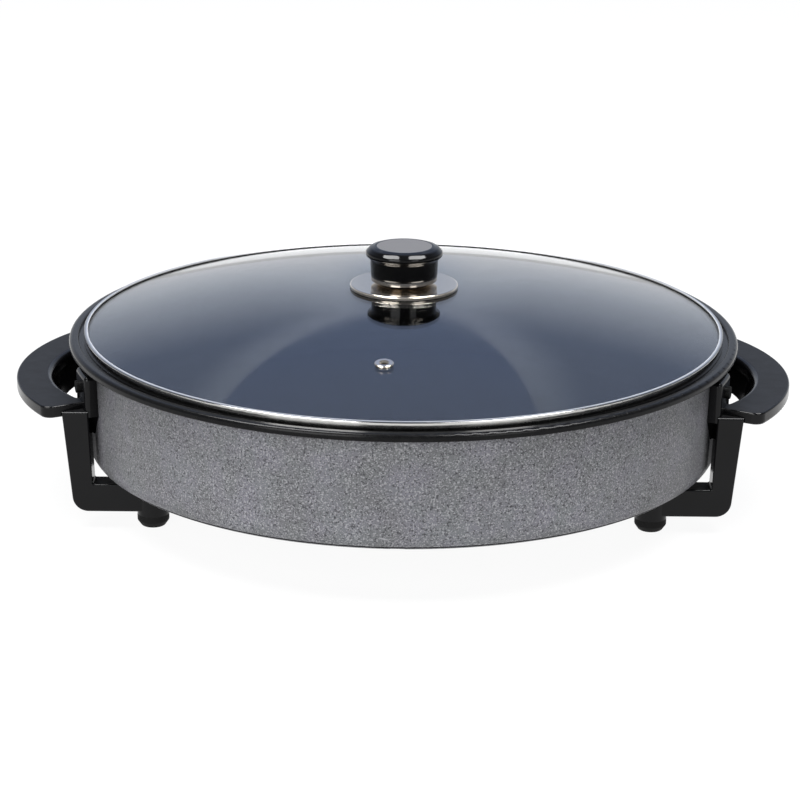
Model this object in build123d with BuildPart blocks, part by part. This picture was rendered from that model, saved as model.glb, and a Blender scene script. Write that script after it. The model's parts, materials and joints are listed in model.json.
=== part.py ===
"""Electric party pan: a round speckled pan on two handles with legs, under a domed glass lid.

Millimetres, Z up. The origin is on the table under the centre of the pan.
The handles lie along X and the inlet for the heat control is at the back, on the +Y side.
"""
import os
from math import asin, atan2, cos, degrees, hypot, radians, sin, sqrt, tan

from build123d import *

os.makedirs("parts", exist_ok=True)

# Fits and cuts
FIT = 0.3
SLIDE_FIT = 0.1
OVERRUN = 6.0
QUARTER_TURN = 90
HALF_TURN = 180
FULL_TURN = 360

# Pan
FLOOR_HEIGHT = 32.5
PAN_HEIGHT = 77.5
PAN_FLOOR = 4.0
PAN_WALL = 3.5
WALL_TAPER = 2.0
PAN_CORNER = 8.5
PAN_INNER_CORNER = 12.0
LEDGE_SEAT = 2.8
LEDGE_DROP = 2.0
LEDGE_THICK = 2.2
LIP_GAP = 3.5
LIP_WIDTH = 6.2
LIP_INNER_ROUND = 1.2
RIM_SKIRT = 3.0
RIM_SKIRT_HEIGHT = 4.8
RIM_ROUND = 2.6
RIM_EDGE_ROUND = 0.8

# Lid
LID_RADIUS = 208.3
BAND_HEIGHT = 6.4
BAND_SHEET = 0.7
BAND_GRIP = 2.4
BAND_TOP_ROUND = 0.8
BAND_BOTTOM_ROUND = 0.8
BAND_FACET_COUNT = 3
LINER_THICK = 0.5
LAND_MARGIN = 0.6
GLASS_RISE = 25.7
VENT_RADIUS = 137.0
VENT_TURN = -94.9
VENT_TUBE_RADIUS = 4.0
VENT_HOLE_RADIUS = 2.0
VENT_FLANGE_RADIUS = 5.9
VENT_TURNED_RADIUS = 5.2
VENT_FLANGE_THICK = 1.1
VENT_FLANGE_ROUND = 0.9
VENT_SINK = 1.2

# Knob and its clamping stack
SCREW_RADIUS = 2.5
SCREW_HEAD_RADIUS = 5.0
SCREW_HEAD_HEIGHT = 3.0
SCREW_SLOT_WIDTH = 1.2
SCREW_SLOT_DEPTH = 1.4
SCREW_BITE = 10.0
GROMMET_COLLAR_RADIUS = 3.9
GASKET_RADIUS = 14.0
GASKET_THICK = 0.8
UNDER_GASKET_RADIUS = 12.0
UNDER_WASHER_RADIUS = 14.0
UNDER_WASHER_THICK = 1.2
PLATE_RADIUS = 35.3
PLATE_SHEET = 1.2
PLATE_ROUND = 1.0
FERRULE_HEIGHT = 5.2
FERRULE_CONE_HEIGHT = 2.7
FERRULE_BASE_RADIUS = 17.1
FERRULE_RADIUS = 21.6
FERRULE_SHEET = 1.2
KNOB_SPIGOT_HEIGHT = 3.9
KNOB_BASE_RADIUS = 21.2
KNOB_WAIST_RADIUS = 21.8
KNOB_BEVEL_HEIGHT = 1.2
KNOB_BODY_RADIUS = 22.2
KNOB_BODY_HEIGHT = 11.4
KNOB_FLANGE_RADIUS = 25.1
KNOB_FLANGE_RISE = 2.6
KNOB_HEIGHT = 19.8
KNOB_NECK_ROUND = 1.2
KNOB_FLANGE_ROUND = 2.2
KNOB_SHOULDER_DROP = 3.4
KNOB_BROW_RADIUS = 22.4
KNOB_BROW_DROP = 0.8
KNOB_BROW_ROUND = 3.0
KNOB_SHOULDER_RADIUS = 19.2
INLAY_RADIUS = 18.0
INLAY_THICK = 1.2
INSERT_RADIUS = 4.5
INSERT_LENGTH = 15.0

# Handles
GRIP_TOP = 81.5
GRIP_THICK = 8.0
GRIP_WIDTH = 23.5
GRIP_HALF_LENGTH = 87.3
GRIP_CORNER_REACH = 6.8
GRIP_CORNER_ROUND = 7.0
GRIP_END_TURN = 27.0
GRIP_TOP_ROUND = 1.2
GRIP_BOTTOM_ROUND = 2.0
GAP_CENTRE_INSET = 85.0
GAP_RADIUS = 97.0
ARM_WIDTH = 23.3
GAP_CORNER_ROUND = 5.0
GAP_TOP_ROUND = 4.5
GUARD_THICK = 2.6
GUARD_DEPTH = 14.5
GUARD_LEAN = 5.5
PAD_SETBACK = 1.5
PAD_LEAD = 6.1
PAD_INSET = 4.0
PAD_RIM_GAP = 5.2
PAD_ROUND = 3.0
LEG_SETBACK = 3.3
LEG_DEPTH = 16.0
LEG_TOP_INSET = 2.9
LEG_BOTTOM_INSET = 9.1
LEG_TOP_WIDTH = 16.7
LEG_BOTTOM_WIDTH = 12.2
LEG_CORNER_ROUND = 10.0
LEG_INNER_ROUND = 1.2
LEG_EDGE_ROUND = 1.2
BAR_BOTTOM = 11.0
BAR_TOP = 29.5
FOOT_INSET = 58.8
COLUMN_RADIUS = 10.2
FOOT_HEIGHT = 8.0
FOOT_TIP_RADIUS = 7.4
FOOT_TIP_ROUND = 2.0
FOOT_SPIGOT_HEIGHT = 6.0
FOOT_BOSS_RADIUS = 7.0
FOOT_BOSS_HEIGHT = 6.0
FOOT_COUNTERBORE_RADIUS = 5.0
COLUMN_WEB = 7.0

# Small screws of one size: handle, foot, base cover and inlet
SMALL_SCREW_RADIUS = 2.0
SMALL_HEAD_RADIUS = 4.0
SMALL_HEAD_HEIGHT = 2.6
SMALL_SCREW_BITE = 6.0
HOLE_SPARE = 0.4
WALL_BOSS_RADIUS = 5.0
WALL_BOSS_HEIGHT = 4.0
WALL_BOSS_DROP = 14.6

# Heating and inlet
ELEMENT_RADIUS = 4.0
ELEMENT_INSET = 40.0
ELEMENT_BEND_RADIUS = 22.0
PROBE_RADIUS = 4.3
PROBE_BORE_RADIUS = 3.3
PROBE_COVER_GAP = 2.6
PROBE_END_WALL = 2.0
PIN_SPACING = 32.0
PIN_RADIUS = 3.0
PIN_ROOT_RADIUS = 2.4
PIN_LENGTH = 14.0
PIN_TIP_ROUND = 1.0
BUSH_RADIUS = 4.0
BUSH_FLANGE_RADIUS = 4.3
BUSH_FLANGE_THICK = 2.0
BUSH_TAIL = 2.5
SHROUD_WIDTH = 68.0
SHROUD_HEIGHT = 21.5
SHROUD_DEPTH = 18.0
SHROUD_SHEET = 1.5
SHROUD_SETBACK = 2.0
TONGUE_LENGTH = 46.0
TONGUE_WIDTH = 76.0
INLET_SCREW_SPACING = 60.0
INLET_SCREW_INSET = 10.0
UNDER_BOSS_RADIUS = 5.0
COVER_TONGUE_GAP = 13.1
COVER_SHEET = 1.0
COVER_CORNER = 3.0
COVER_SCREW_INSET = 19.0
COVER_SCREW_TURN = 45.0
COVER_NOTCH_MARGIN = 5.0
SCREW_COUNT = 4

# Heights and radii that follow from the sizes above
rim_top = FLOOR_HEIGHT + PAN_HEIGHT
rim_bottom = rim_top - RIM_SKIRT_HEIGHT
ledge_top = rim_top - LEDGE_DROP
ledge_under = ledge_top - LEDGE_THICK
floor_top = FLOOR_HEIGHT + PAN_FLOOR
wall_top_inner = LID_RADIUS - LEDGE_SEAT
wall_top_outer = wall_top_inner + PAN_WALL
wall_bottom_outer = wall_top_outer - WALL_TAPER
wall_bottom_inner = wall_bottom_outer - PAN_WALL
lip_inner = LID_RADIUS + LIP_GAP
rim_radius = lip_inner + LIP_WIDTH
gap_centre = rim_radius - GAP_CENTRE_INSET
gap_apex = gap_centre + GAP_RADIUS
grip_apex = gap_apex + GRIP_WIDTH
gap_half_length = GRIP_HALF_LENGTH - ARM_WIDTH
grip_bottom = GRIP_TOP - GRIP_THICK
leg_top = grip_bottom + GRIP_THICK / 2
foot_x = rim_radius - FOOT_INSET
leg_front = GRIP_HALF_LENGTH - LEG_SETBACK
foot_y = leg_front - LEG_DEPTH / 2
boss_face = FLOOR_HEIGHT - FOOT_BOSS_HEIGHT
head_seat = boss_face - COLUMN_WEB
pad_radius = rim_radius - PAD_SETBACK
pad_top = rim_bottom - PAD_RIM_GAP
pad_start_turn = degrees(asin((gap_half_length - PAD_LEAD) / pad_radius))
pad_end_turn = degrees(asin((GRIP_HALF_LENGTH - PAD_INSET) / pad_radius))
pad_turn = (pad_start_turn + pad_end_turn) / 2
terminal_height = FLOOR_HEIGHT - FIT - PROBE_RADIUS
pin_offset = PIN_SPACING / 2
tongue_top = terminal_height - PROBE_RADIUS - FIT
cover_top = terminal_height - ELEMENT_RADIUS - COVER_SHEET


def wall_radius(height):
    """Outside radius of the pan's tapering wall at a height."""
    share = (height - FLOOR_HEIGHT) / (ledge_under - FLOOR_HEIGHT)
    return wall_bottom_outer + WALL_TAPER * share


def round_spot(radius, turn):
    """Point in plan at a radius and a turn about the pan's axis."""
    return (radius * cos(radians(turn)), radius * sin(radians(turn)))


def radial_plane(radius, turn, height):
    """Plane that faces away from the pan's axis."""
    return Plane(origin=(*round_spot(radius, turn), height), z_dir=(*round_spot(radius, turn), 0))


def down_plane(x, y, height):
    """Plane that faces the table."""
    return Plane(origin=(x, y, height), x_dir=(1, 0, 0), z_dir=(0, 0, -1))


def inlet_plane(y, height):
    """Plane at the inlet that faces the back."""
    return Plane(origin=(0, y, height), x_dir=(-1, 0, 0), z_dir=(0, 1, 0))


def inlet_floor(height):
    """Level plane with its first axis towards the inlet."""
    return Plane(origin=(0, 0, height), x_dir=(0, 1, 0), z_dir=(0, 0, 1))


def side_planes(y, spacing):
    """Two planes at the inlet that face the back, a spacing apart."""
    return [Plane(origin=(side * spacing / 2, y, terminal_height), z_dir=(0, 1, 0)) for side in (1, -1)]


def keep(piece, name):
    """Names a piece and writes its file."""
    piece.part.label = name
    export_step(piece.part, f"parts/{name}.step")


# Places of the screws
wall_boss_height = rim_bottom - WALL_BOSS_DROP
wall_boss_face = wall_radius(wall_boss_height) + WALL_BOSS_HEIGHT
wall_turns = [pad_turn, HALF_TURN - pad_turn, HALF_TURN + pad_turn, -pad_turn]
wall_boss_planes = [radial_plane(wall_boss_face, turn, wall_boss_height) for turn in wall_turns]
right_boss_planes = [wall_boss_planes[0], wall_boss_planes[-1]]
handle_screw_planes = [radial_plane(pad_radius, turn, wall_boss_height) for turn in wall_turns]
foot_places = {
    "foot_front_left": (-foot_x, -foot_y),
    "foot_front_right": (foot_x, -foot_y),
    "foot_back_left": (-foot_x, foot_y),
    "foot_back_right": (foot_x, foot_y),
}
foot_boss_planes = [down_plane(x, y, boss_face) for x, y in foot_places.values()]
foot_screw_planes = [down_plane(x, y, head_seat) for x, y in foot_places.values()]
inlet_front = wall_bottom_outer - SHROUD_SETBACK - SHROUD_DEPTH
inlet_back = inlet_front - SHROUD_SHEET
tongue_start = inlet_back - TONGUE_LENGTH
inlet_screw_y = tongue_start + INLET_SCREW_INSET
inlet_spots = [(INLET_SCREW_SPACING / 2, inlet_screw_y), (-INLET_SCREW_SPACING / 2, inlet_screw_y)]
inlet_boss_planes = [down_plane(x, y, tongue_top) for x, y in inlet_spots]
inlet_screw_planes = [down_plane(x, y, tongue_top - SHROUD_SHEET) for x, y in inlet_spots]
cover_radius = tongue_start - COVER_TONGUE_GAP
cover_turns = [COVER_SCREW_TURN + QUARTER_TURN * index for index in range(SCREW_COUNT)]
cover_spots = [round_spot(cover_radius - COVER_SCREW_INSET, turn) for turn in cover_turns]
cover_boss_planes = [down_plane(x, y, cover_top) for x, y in cover_spots]
cover_screw_planes = [down_plane(x, y, cover_top - COVER_SHEET) for x, y in cover_spots]

# Pan shell: turned section, then bosses for the handles, feet, cover and inlet
with BuildPart() as pan_shell:
    with BuildSketch(Plane.XZ):
        with BuildLine():
            FilletPolyline(
                (0, FLOOR_HEIGHT),
                (wall_bottom_outer, FLOOR_HEIGHT),
                (wall_top_outer, ledge_under),
                (rim_radius - RIM_SKIRT, ledge_under),
                (rim_radius - RIM_SKIRT, rim_bottom),
                (rim_radius, rim_bottom),
                (rim_radius, rim_top),
                (lip_inner, rim_top),
                (lip_inner, ledge_top),
                (wall_top_inner, ledge_top),
                (wall_bottom_inner, floor_top),
                (0, floor_top),
                radius=[
                    0, PAN_CORNER, 0, 0, 0, RIM_EDGE_ROUND,
                    RIM_ROUND, LIP_INNER_ROUND, 0, 0, PAN_INNER_CORNER, 0,
                ],
                close=True,
            )
        make_face()
    revolve(axis=Axis.Z)
    with BuildSketch(*wall_boss_planes):
        Circle(WALL_BOSS_RADIUS)
    extrude(amount=-(WALL_BOSS_HEIGHT + PAN_WALL / 2))
    with BuildSketch(*foot_boss_planes):
        Circle(FOOT_BOSS_RADIUS)
    extrude(amount=-(FOOT_BOSS_HEIGHT + PAN_FLOOR / 2))
    with BuildSketch(*cover_boss_planes):
        Circle(UNDER_BOSS_RADIUS)
    extrude(amount=-(FLOOR_HEIGHT - cover_top + PAN_FLOOR / 2))
    with BuildSketch(*inlet_boss_planes):
        Circle(UNDER_BOSS_RADIUS)
    extrude(amount=-(FLOOR_HEIGHT - tongue_top + PAN_FLOOR / 2))
    with BuildSketch(*wall_boss_planes, *foot_boss_planes, *cover_boss_planes, *inlet_boss_planes):
        Circle(SMALL_SCREW_RADIUS + SLIDE_FIT)
    extrude(amount=-(SMALL_SCREW_BITE + HOLE_SPARE), mode=Mode.SUBTRACT)
keep(pan_shell, "pan_shell")

# Room the pan's wall needs inside the handles
with BuildPart() as wall_room:
    with BuildSketch(Plane.XZ):
        with BuildLine():
            Polyline(
                (0, FLOOR_HEIGHT),
                (wall_radius(FLOOR_HEIGHT) + FIT, FLOOR_HEIGHT),
                (wall_radius(rim_bottom) + FIT, rim_bottom),
                (0, rim_bottom),
                close=True,
            )
        make_face()
    revolve(axis=Axis.Z)


def off_wall(edge):
    """True for a grip edge that isn't along the pan's wall."""
    middle = edge @ 0.5
    return hypot(middle.X, middle.Y) > wall_radius(middle.Z) + 2 * FIT


def off_gap(edge):
    """True for a grip edge that isn't round the finger gap."""
    middle = edge @ 0.5
    beside = abs(middle.Y) > gap_half_length + SLIDE_FIT
    return beside or hypot(middle.X - gap_centre, middle.Y) > GAP_RADIUS + SLIDE_FIT


# One wall pad, on the +X, +Y side
pad_far = pad_radius + OVERRUN
pad_wedge = [round_spot(pad_far, turn) for turn in (pad_start_turn, pad_end_turn)]
with BuildPart() as pad:
    with BuildSketch(Plane.XY.offset(grip_bottom)):
        with BuildLine():
            Polyline((0, 0), *pad_wedge, close=True)
        make_face()
        Circle(pad_radius, mode=Mode.INTERSECT)
    extrude(amount=pad_top - grip_bottom)
    add(wall_room.part, mode=Mode.SUBTRACT)
    pad_corners = edges().filter_by(Axis.Z).filter_by(off_wall)
    fillet(faces().sort_by(Axis.Z)[-1].edges().filter_by(off_wall) + pad_corners, radius=PAD_ROUND)

# Finger guard: cone under the edge of the finger gap that leans in towards the wall
guard_bottom = grip_bottom - GUARD_DEPTH
guard_inner = GAP_RADIUS + FIT
guard_tip = guard_inner - GUARD_LEAN
with BuildPart() as guard:
    with BuildSketch(Plane(origin=(gap_centre, 0, 0), x_dir=(1, 0, 0), z_dir=(0, -1, 0))):
        with BuildLine():
            Polyline(
                (guard_tip, guard_bottom),
                (guard_tip + GUARD_THICK, guard_bottom),
                (guard_inner + GUARD_THICK, grip_bottom),
                (guard_inner + GUARD_THICK, leg_top),
                (guard_inner, leg_top),
                (guard_inner, grip_bottom),
                close=True,
            )
        make_face()
    revolve(axis=Axis((gap_centre, 0, 0), (0, 0, 1)))
    with BuildSketch(Plane.XY.offset(guard_bottom)):
        Rectangle(2 * grip_apex, 2 * leg_front)
    extrude(amount=leg_top - guard_bottom, mode=Mode.INTERSECT)
    add(wall_room.part, mode=Mode.SUBTRACT)

# One leg with its bar, on the +X, -Y side
leg_outer_top = rim_radius - LEG_TOP_INSET
leg_outer_bottom = rim_radius - LEG_BOTTOM_INSET
with BuildPart() as leg:
    with BuildSketch(Plane.XZ.offset(leg_front - LEG_DEPTH)):
        with BuildLine():
            FilletPolyline(
                (leg_outer_top, leg_top),
                (leg_outer_bottom, BAR_BOTTOM),
                (foot_x, BAR_BOTTOM),
                (foot_x, BAR_TOP),
                (leg_outer_bottom - LEG_BOTTOM_WIDTH, BAR_TOP),
                (leg_outer_top - LEG_TOP_WIDTH, leg_top),
                radius=[0, LEG_CORNER_ROUND, 0, 0, LEG_INNER_ROUND, 0],
                close=True,
            )
        make_face()
    extrude(amount=LEG_DEPTH)
    fillet(leg.faces().filter_by(Axis.Y).edges(), radius=LEG_EDGE_ROUND)

# Handle on the +X side: grip, finger guard, wall pads, legs and foot columns
grip_corner = rim_radius + GRIP_CORNER_REACH
root_run = grip_corner - foot_x
root_half = GRIP_HALF_LENGTH - root_run * tan(radians(GRIP_END_TURN))
with BuildPart() as handle_right:
    with BuildSketch(Plane.XY.offset(grip_bottom)):
        with BuildLine():
            ThreePointArc((grip_corner, -GRIP_HALF_LENGTH), (grip_apex, 0), (grip_corner, GRIP_HALF_LENGTH))
            Polyline(
                (grip_corner, GRIP_HALF_LENGTH),
                (foot_x, root_half),
                (foot_x, -root_half),
                (grip_corner, -GRIP_HALF_LENGTH),
            )
        make_face()
        fillet(vertices().group_by(Axis.X)[-1], radius=GRIP_CORNER_ROUND)
    extrude(amount=GRIP_THICK)
    fillet(faces().sort_by(Axis.Z)[-1].edges(), radius=GRIP_TOP_ROUND)
    fillet(faces().sort_by(Axis.Z)[0].edges(), radius=GRIP_BOTTOM_ROUND)
    with BuildSketch(Plane.XY.offset(grip_bottom - OVERRUN)):
        with Locations((gap_centre, 0)):
            Circle(GAP_RADIUS)
        Rectangle(2 * grip_apex, 2 * (gap_half_length - FIT), mode=Mode.INTERSECT)
        fillet(vertices().group_by(Axis.X)[-1], radius=GAP_CORNER_ROUND)
    extrude(amount=GRIP_THICK + 2 * OVERRUN, mode=Mode.SUBTRACT)
    add(wall_room.part, mode=Mode.SUBTRACT)
    inner_edges = faces().filter_by(Axis.Z).sort_by(Axis.Z)[-1].edges().filter_by(off_wall)
    fillet(inner_edges.filter_by(off_gap, reverse=True), radius=GAP_TOP_ROUND)
    add(guard.part)
    add(pad.part)
    mirror(pad.part, about=Plane.XZ)
    add(leg.part)
    mirror(leg.part, about=Plane.XZ)
    with BuildSketch(down_plane(foot_x, foot_y, BAR_TOP), down_plane(foot_x, -foot_y, BAR_TOP)):
        Circle(COLUMN_RADIUS)
    extrude(amount=BAR_TOP - FOOT_HEIGHT)
    add(wall_room.part, mode=Mode.SUBTRACT)
    with BuildSketch(*foot_boss_planes):
        Circle(FOOT_BOSS_RADIUS + FIT)
    extrude(amount=-(BAR_TOP - boss_face + OVERRUN), mode=Mode.SUBTRACT)
    with BuildSketch(*foot_screw_planes):
        Circle(FOOT_COUNTERBORE_RADIUS)
    extrude(amount=head_seat - FOOT_HEIGHT + OVERRUN, mode=Mode.SUBTRACT)
    with BuildSketch(*foot_screw_planes):
        Circle(SMALL_SCREW_RADIUS + SLIDE_FIT)
    extrude(amount=-(COLUMN_WEB + OVERRUN), mode=Mode.SUBTRACT)
    with BuildSketch(*right_boss_planes):
        Circle(WALL_BOSS_RADIUS + FIT)
    extrude(amount=-(WALL_BOSS_HEIGHT + OVERRUN), mode=Mode.SUBTRACT)
    with BuildSketch(*right_boss_planes):
        Circle(SMALL_SCREW_RADIUS + SLIDE_FIT)
    extrude(amount=pad_radius - wall_boss_face + OVERRUN, mode=Mode.SUBTRACT)
keep(handle_right, "handle_right")

# Handle on the -X side: the same moulding turned half round
with BuildPart() as handle_left:
    add(handle_right.part, rotation=(0, 0, HALF_TURN))
keep(handle_left, "handle_left")

# Screws through the wall pads
with BuildPart() as handle_screws:
    with BuildSketch(*handle_screw_planes):
        Circle(SMALL_HEAD_RADIUS)
    extrude(amount=SMALL_HEAD_HEIGHT)
    with BuildSketch(*handle_screw_planes):
        Circle(SMALL_SCREW_RADIUS)
    extrude(amount=-(pad_radius - wall_boss_face + SMALL_SCREW_BITE))
keep(handle_screws, "handle_screws")

# Screws up through the foot columns
with BuildPart() as foot_screws:
    with BuildSketch(*foot_screw_planes):
        Circle(SMALL_HEAD_RADIUS)
    extrude(amount=SMALL_HEAD_HEIGHT)
    with BuildSketch(*foot_screw_planes):
        Circle(SMALL_SCREW_RADIUS)
    extrude(amount=-(COLUMN_WEB + SMALL_SCREW_BITE))
keep(foot_screws, "foot_screws")

# Rubber feet: each a rounded tip with a spigot in the column's counterbore
spigot_radius = FOOT_COUNTERBORE_RADIUS - SLIDE_FIT
for foot_name, (x, y) in foot_places.items():
    with BuildPart() as foot:
        with BuildSketch(Plane.XZ):
            with BuildLine():
                FilletPolyline(
                    (0, 0),
                    (FOOT_TIP_RADIUS, 0),
                    (COLUMN_RADIUS, FOOT_HEIGHT / 2),
                    (COLUMN_RADIUS, FOOT_HEIGHT),
                    (spigot_radius, FOOT_HEIGHT),
                    (spigot_radius, FOOT_HEIGHT + FOOT_SPIGOT_HEIGHT),
                    (0, FOOT_HEIGHT + FOOT_SPIGOT_HEIGHT),
                    radius=[0, FOOT_TIP_ROUND, FOOT_TIP_ROUND, 0, 0, 0, 0],
                    close=True,
                )
            make_face()
        revolve(axis=Axis.Z)
    foot.part.position = (x, y, 0)
    keep(foot, foot_name)

# Heating element: sheathed tube in a ring, its cold ends leading out to the pins
ring_radius = cover_radius - ELEMENT_INSET
element_end = inlet_back - BUSH_TAIL - FIT
bend_y = pin_offset + ELEMENT_BEND_RADIUS
bend_x = sqrt((ring_radius + ELEMENT_BEND_RADIUS) ** 2 - bend_y ** 2)
ring_start = degrees(atan2(bend_y, bend_x))
with BuildPart() as heating_element:
    with BuildLine(inlet_floor(terminal_height)) as element_path:
        Line((element_end, pin_offset), (bend_x, pin_offset))
        CenterArc((bend_x, bend_y), ELEMENT_BEND_RADIUS, -QUARTER_TURN, ring_start - QUARTER_TURN)
        CenterArc((0, 0), ring_radius, ring_start, FULL_TURN - 2 * ring_start)
        CenterArc((bend_x, -bend_y), ELEMENT_BEND_RADIUS, HALF_TURN - ring_start, ring_start - QUARTER_TURN)
        Line((bend_x, -pin_offset), (element_end, -pin_offset))
    with BuildSketch(Plane(origin=(-pin_offset, element_end, terminal_height), z_dir=(0, -1, 0))):
        Circle(ELEMENT_RADIUS)
    sweep(path=element_path.wire())
keep(heating_element, "heating_element")

# Contact pins on the cold ends: a thin root in the bush and a free end beyond its flange
bush_start = inlet_back - BUSH_TAIL
pin_start = inlet_front + BUSH_FLANGE_THICK
with BuildPart() as terminal_pins:
    with BuildSketch(*side_planes(element_end, PIN_SPACING)):
        Circle(PIN_ROOT_RADIUS)
    extrude(amount=pin_start - element_end)
    with BuildSketch(*side_planes(pin_start, PIN_SPACING)):
        Circle(PIN_RADIUS)
    extrude(amount=PIN_LENGTH)
    fillet(faces().group_by(Axis.Y)[-1].edges(), radius=PIN_TIP_ROUND)
keep(terminal_pins, "terminal_pins")

# Ceramic bushes that carry the pins through the shroud's back
with BuildPart() as terminal_insulators:
    with BuildSketch(*side_planes(bush_start, PIN_SPACING)):
        Circle(BUSH_RADIUS)
    extrude(amount=inlet_front - bush_start)
    with BuildSketch(*side_planes(inlet_front, PIN_SPACING)):
        Circle(BUSH_FLANGE_RADIUS)
    extrude(amount=BUSH_FLANGE_THICK)
    with BuildSketch(*side_planes(bush_start, PIN_SPACING)):
        Circle(PIN_ROOT_RADIUS + SLIDE_FIT)
    extrude(amount=pin_start - bush_start, mode=Mode.SUBTRACT)
keep(terminal_insulators, "terminal_insulators")

# Sleeve under the floor for the probe, closed at its inner end, short of the cover
probe_length = pin_start - cover_radius - PROBE_COVER_GAP
with BuildPart() as probe_sleeve:
    with BuildSketch(inlet_plane(pin_start, terminal_height)):
        Circle(PROBE_RADIUS)
    extrude(amount=-probe_length)
    with BuildSketch(inlet_plane(pin_start, terminal_height)):
        Circle(PROBE_BORE_RADIUS)
    extrude(amount=-(probe_length - PROBE_END_WALL), mode=Mode.SUBTRACT)
keep(probe_sleeve, "probe_sleeve")

# Inlet shroud: tray open to the back and to the floor above, on a tongue screwed under the floor
shroud_middle = FLOOR_HEIGHT - FIT - SHROUD_HEIGHT / 2
with BuildPart() as inlet_shroud:
    with BuildSketch(inlet_plane(inlet_back, shroud_middle)):
        Rectangle(SHROUD_WIDTH, SHROUD_HEIGHT)
    extrude(amount=SHROUD_SHEET + SHROUD_DEPTH)
    with BuildSketch(inlet_plane(inlet_front, shroud_middle + SHROUD_SHEET)):
        Rectangle(SHROUD_WIDTH - 2 * SHROUD_SHEET, SHROUD_HEIGHT)
    extrude(amount=SHROUD_DEPTH + OVERRUN, mode=Mode.SUBTRACT)
    with BuildSketch(inlet_floor(tongue_top - SHROUD_SHEET)):
        with Locations((tongue_start + TONGUE_LENGTH / 2 + SHROUD_SHEET / 2, 0)):
            Rectangle(TONGUE_LENGTH + SHROUD_SHEET, TONGUE_WIDTH)
    extrude(amount=SHROUD_SHEET)
    with BuildSketch(inlet_plane(inlet_back, terminal_height)):
        with Locations((pin_offset, 0), (-pin_offset, 0)):
            Circle(BUSH_RADIUS + SLIDE_FIT)
        Circle(PROBE_RADIUS + SLIDE_FIT)
    extrude(amount=SHROUD_SHEET, mode=Mode.SUBTRACT)
    with BuildSketch(*inlet_boss_planes):
        Circle(SMALL_SCREW_RADIUS + SLIDE_FIT)
    extrude(amount=SHROUD_SHEET + OVERRUN, mode=Mode.SUBTRACT)
keep(inlet_shroud, "inlet_shroud")

# Screws of the inlet shroud
with BuildPart() as inlet_screws:
    with BuildSketch(*inlet_screw_planes):
        Circle(SMALL_HEAD_RADIUS)
    extrude(amount=SMALL_HEAD_HEIGHT)
    with BuildSketch(*inlet_screw_planes):
        Circle(SMALL_SCREW_RADIUS)
    extrude(amount=-(SHROUD_SHEET + SMALL_SCREW_BITE))
keep(inlet_screws, "inlet_screws")

# Base cover: shallow dish under the element, notched for the cold ends
cover_bottom = cover_top - COVER_SHEET
notch_width = PIN_SPACING + 2 * (ELEMENT_RADIUS + COVER_NOTCH_MARGIN)
with BuildPart() as base_cover:
    with BuildSketch(Plane.XZ):
        with BuildLine():
            FilletPolyline(
                (0, cover_bottom),
                (cover_radius, cover_bottom),
                (cover_radius, FLOOR_HEIGHT),
                (cover_radius - COVER_SHEET, FLOOR_HEIGHT),
                (cover_radius - COVER_SHEET, cover_top),
                (0, cover_top),
                radius=[0, COVER_CORNER, 0, 0, COVER_CORNER - COVER_SHEET, 0],
                close=True,
            )
        make_face()
    revolve(axis=Axis.Z)
    with BuildSketch(inlet_floor(cover_top)):
        with Locations((cover_radius, 0)):
            Rectangle(notch_width, notch_width)
    extrude(amount=FLOOR_HEIGHT - cover_top + OVERRUN, mode=Mode.SUBTRACT)
    with BuildSketch(*cover_boss_planes):
        Circle(SMALL_SCREW_RADIUS + SLIDE_FIT)
    extrude(amount=COVER_SHEET + OVERRUN, mode=Mode.SUBTRACT)
keep(base_cover, "base_cover")

# Screws of the base cover
with BuildPart() as base_cover_screws:
    with BuildSketch(*cover_screw_planes):
        Circle(SMALL_HEAD_RADIUS)
    extrude(amount=SMALL_HEAD_HEIGHT)
    with BuildSketch(*cover_screw_planes):
        Circle(SMALL_SCREW_RADIUS)
    extrude(amount=-(COVER_SHEET + SMALL_SCREW_BITE))
keep(base_cover_screws, "base_cover_screws")

# Lid band: folded strip round the edge of the glass, resting on the ledge
band_top = ledge_top + BAND_HEIGHT
band_inner = LID_RADIUS - BAND_SHEET
grip_inner = LID_RADIUS - BAND_GRIP


def band_edge(radius, height, start_turn):
    """Points of the band's outer edge, bent in flat facets about a centre at a height."""
    turns = [start_turn + QUARTER_TURN * index / BAND_FACET_COUNT for index in range(BAND_FACET_COUNT + 1)]
    spots = [round_spot(radius, turn) for turn in turns]
    return [(LID_RADIUS - radius + x, height + y) for x, y in spots]


with BuildPart() as lid_rim_band:
    with BuildSketch(Plane.XZ):
        with BuildLine():
            Polyline(
                (grip_inner, ledge_top),
                *band_edge(BAND_BOTTOM_ROUND, ledge_top + BAND_BOTTOM_ROUND, -QUARTER_TURN),
                *band_edge(BAND_TOP_ROUND, band_top - BAND_TOP_ROUND, 0),
                (grip_inner, band_top),
                (grip_inner, band_top - BAND_SHEET),
                (band_inner, band_top - BAND_SHEET),
                (band_inner, ledge_top + BAND_SHEET),
                (grip_inner, ledge_top + BAND_SHEET),
                close=True,
            )
        make_face()
    revolve(axis=Axis.Z)
keep(lid_rim_band, "lid_rim_band")

# Liner: thin seal between band and glass
glass_radius = band_inner - LINER_THICK
land_under = ledge_top + BAND_SHEET + LINER_THICK
land_top = band_top - BAND_SHEET - LINER_THICK
with BuildPart() as rim_liner:
    with BuildSketch(Plane.XZ):
        with BuildLine():
            Polyline(
                (grip_inner, ledge_top + BAND_SHEET),
                (band_inner, ledge_top + BAND_SHEET),
                (band_inner, band_top - BAND_SHEET),
                (grip_inner, band_top - BAND_SHEET),
                (grip_inner, land_top),
                (glass_radius, land_top),
                (glass_radius, land_under),
                (grip_inner, land_under),
                close=True,
            )
        make_face()
    revolve(axis=Axis.Z)
keep(rim_liner, "rim_liner")

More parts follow.
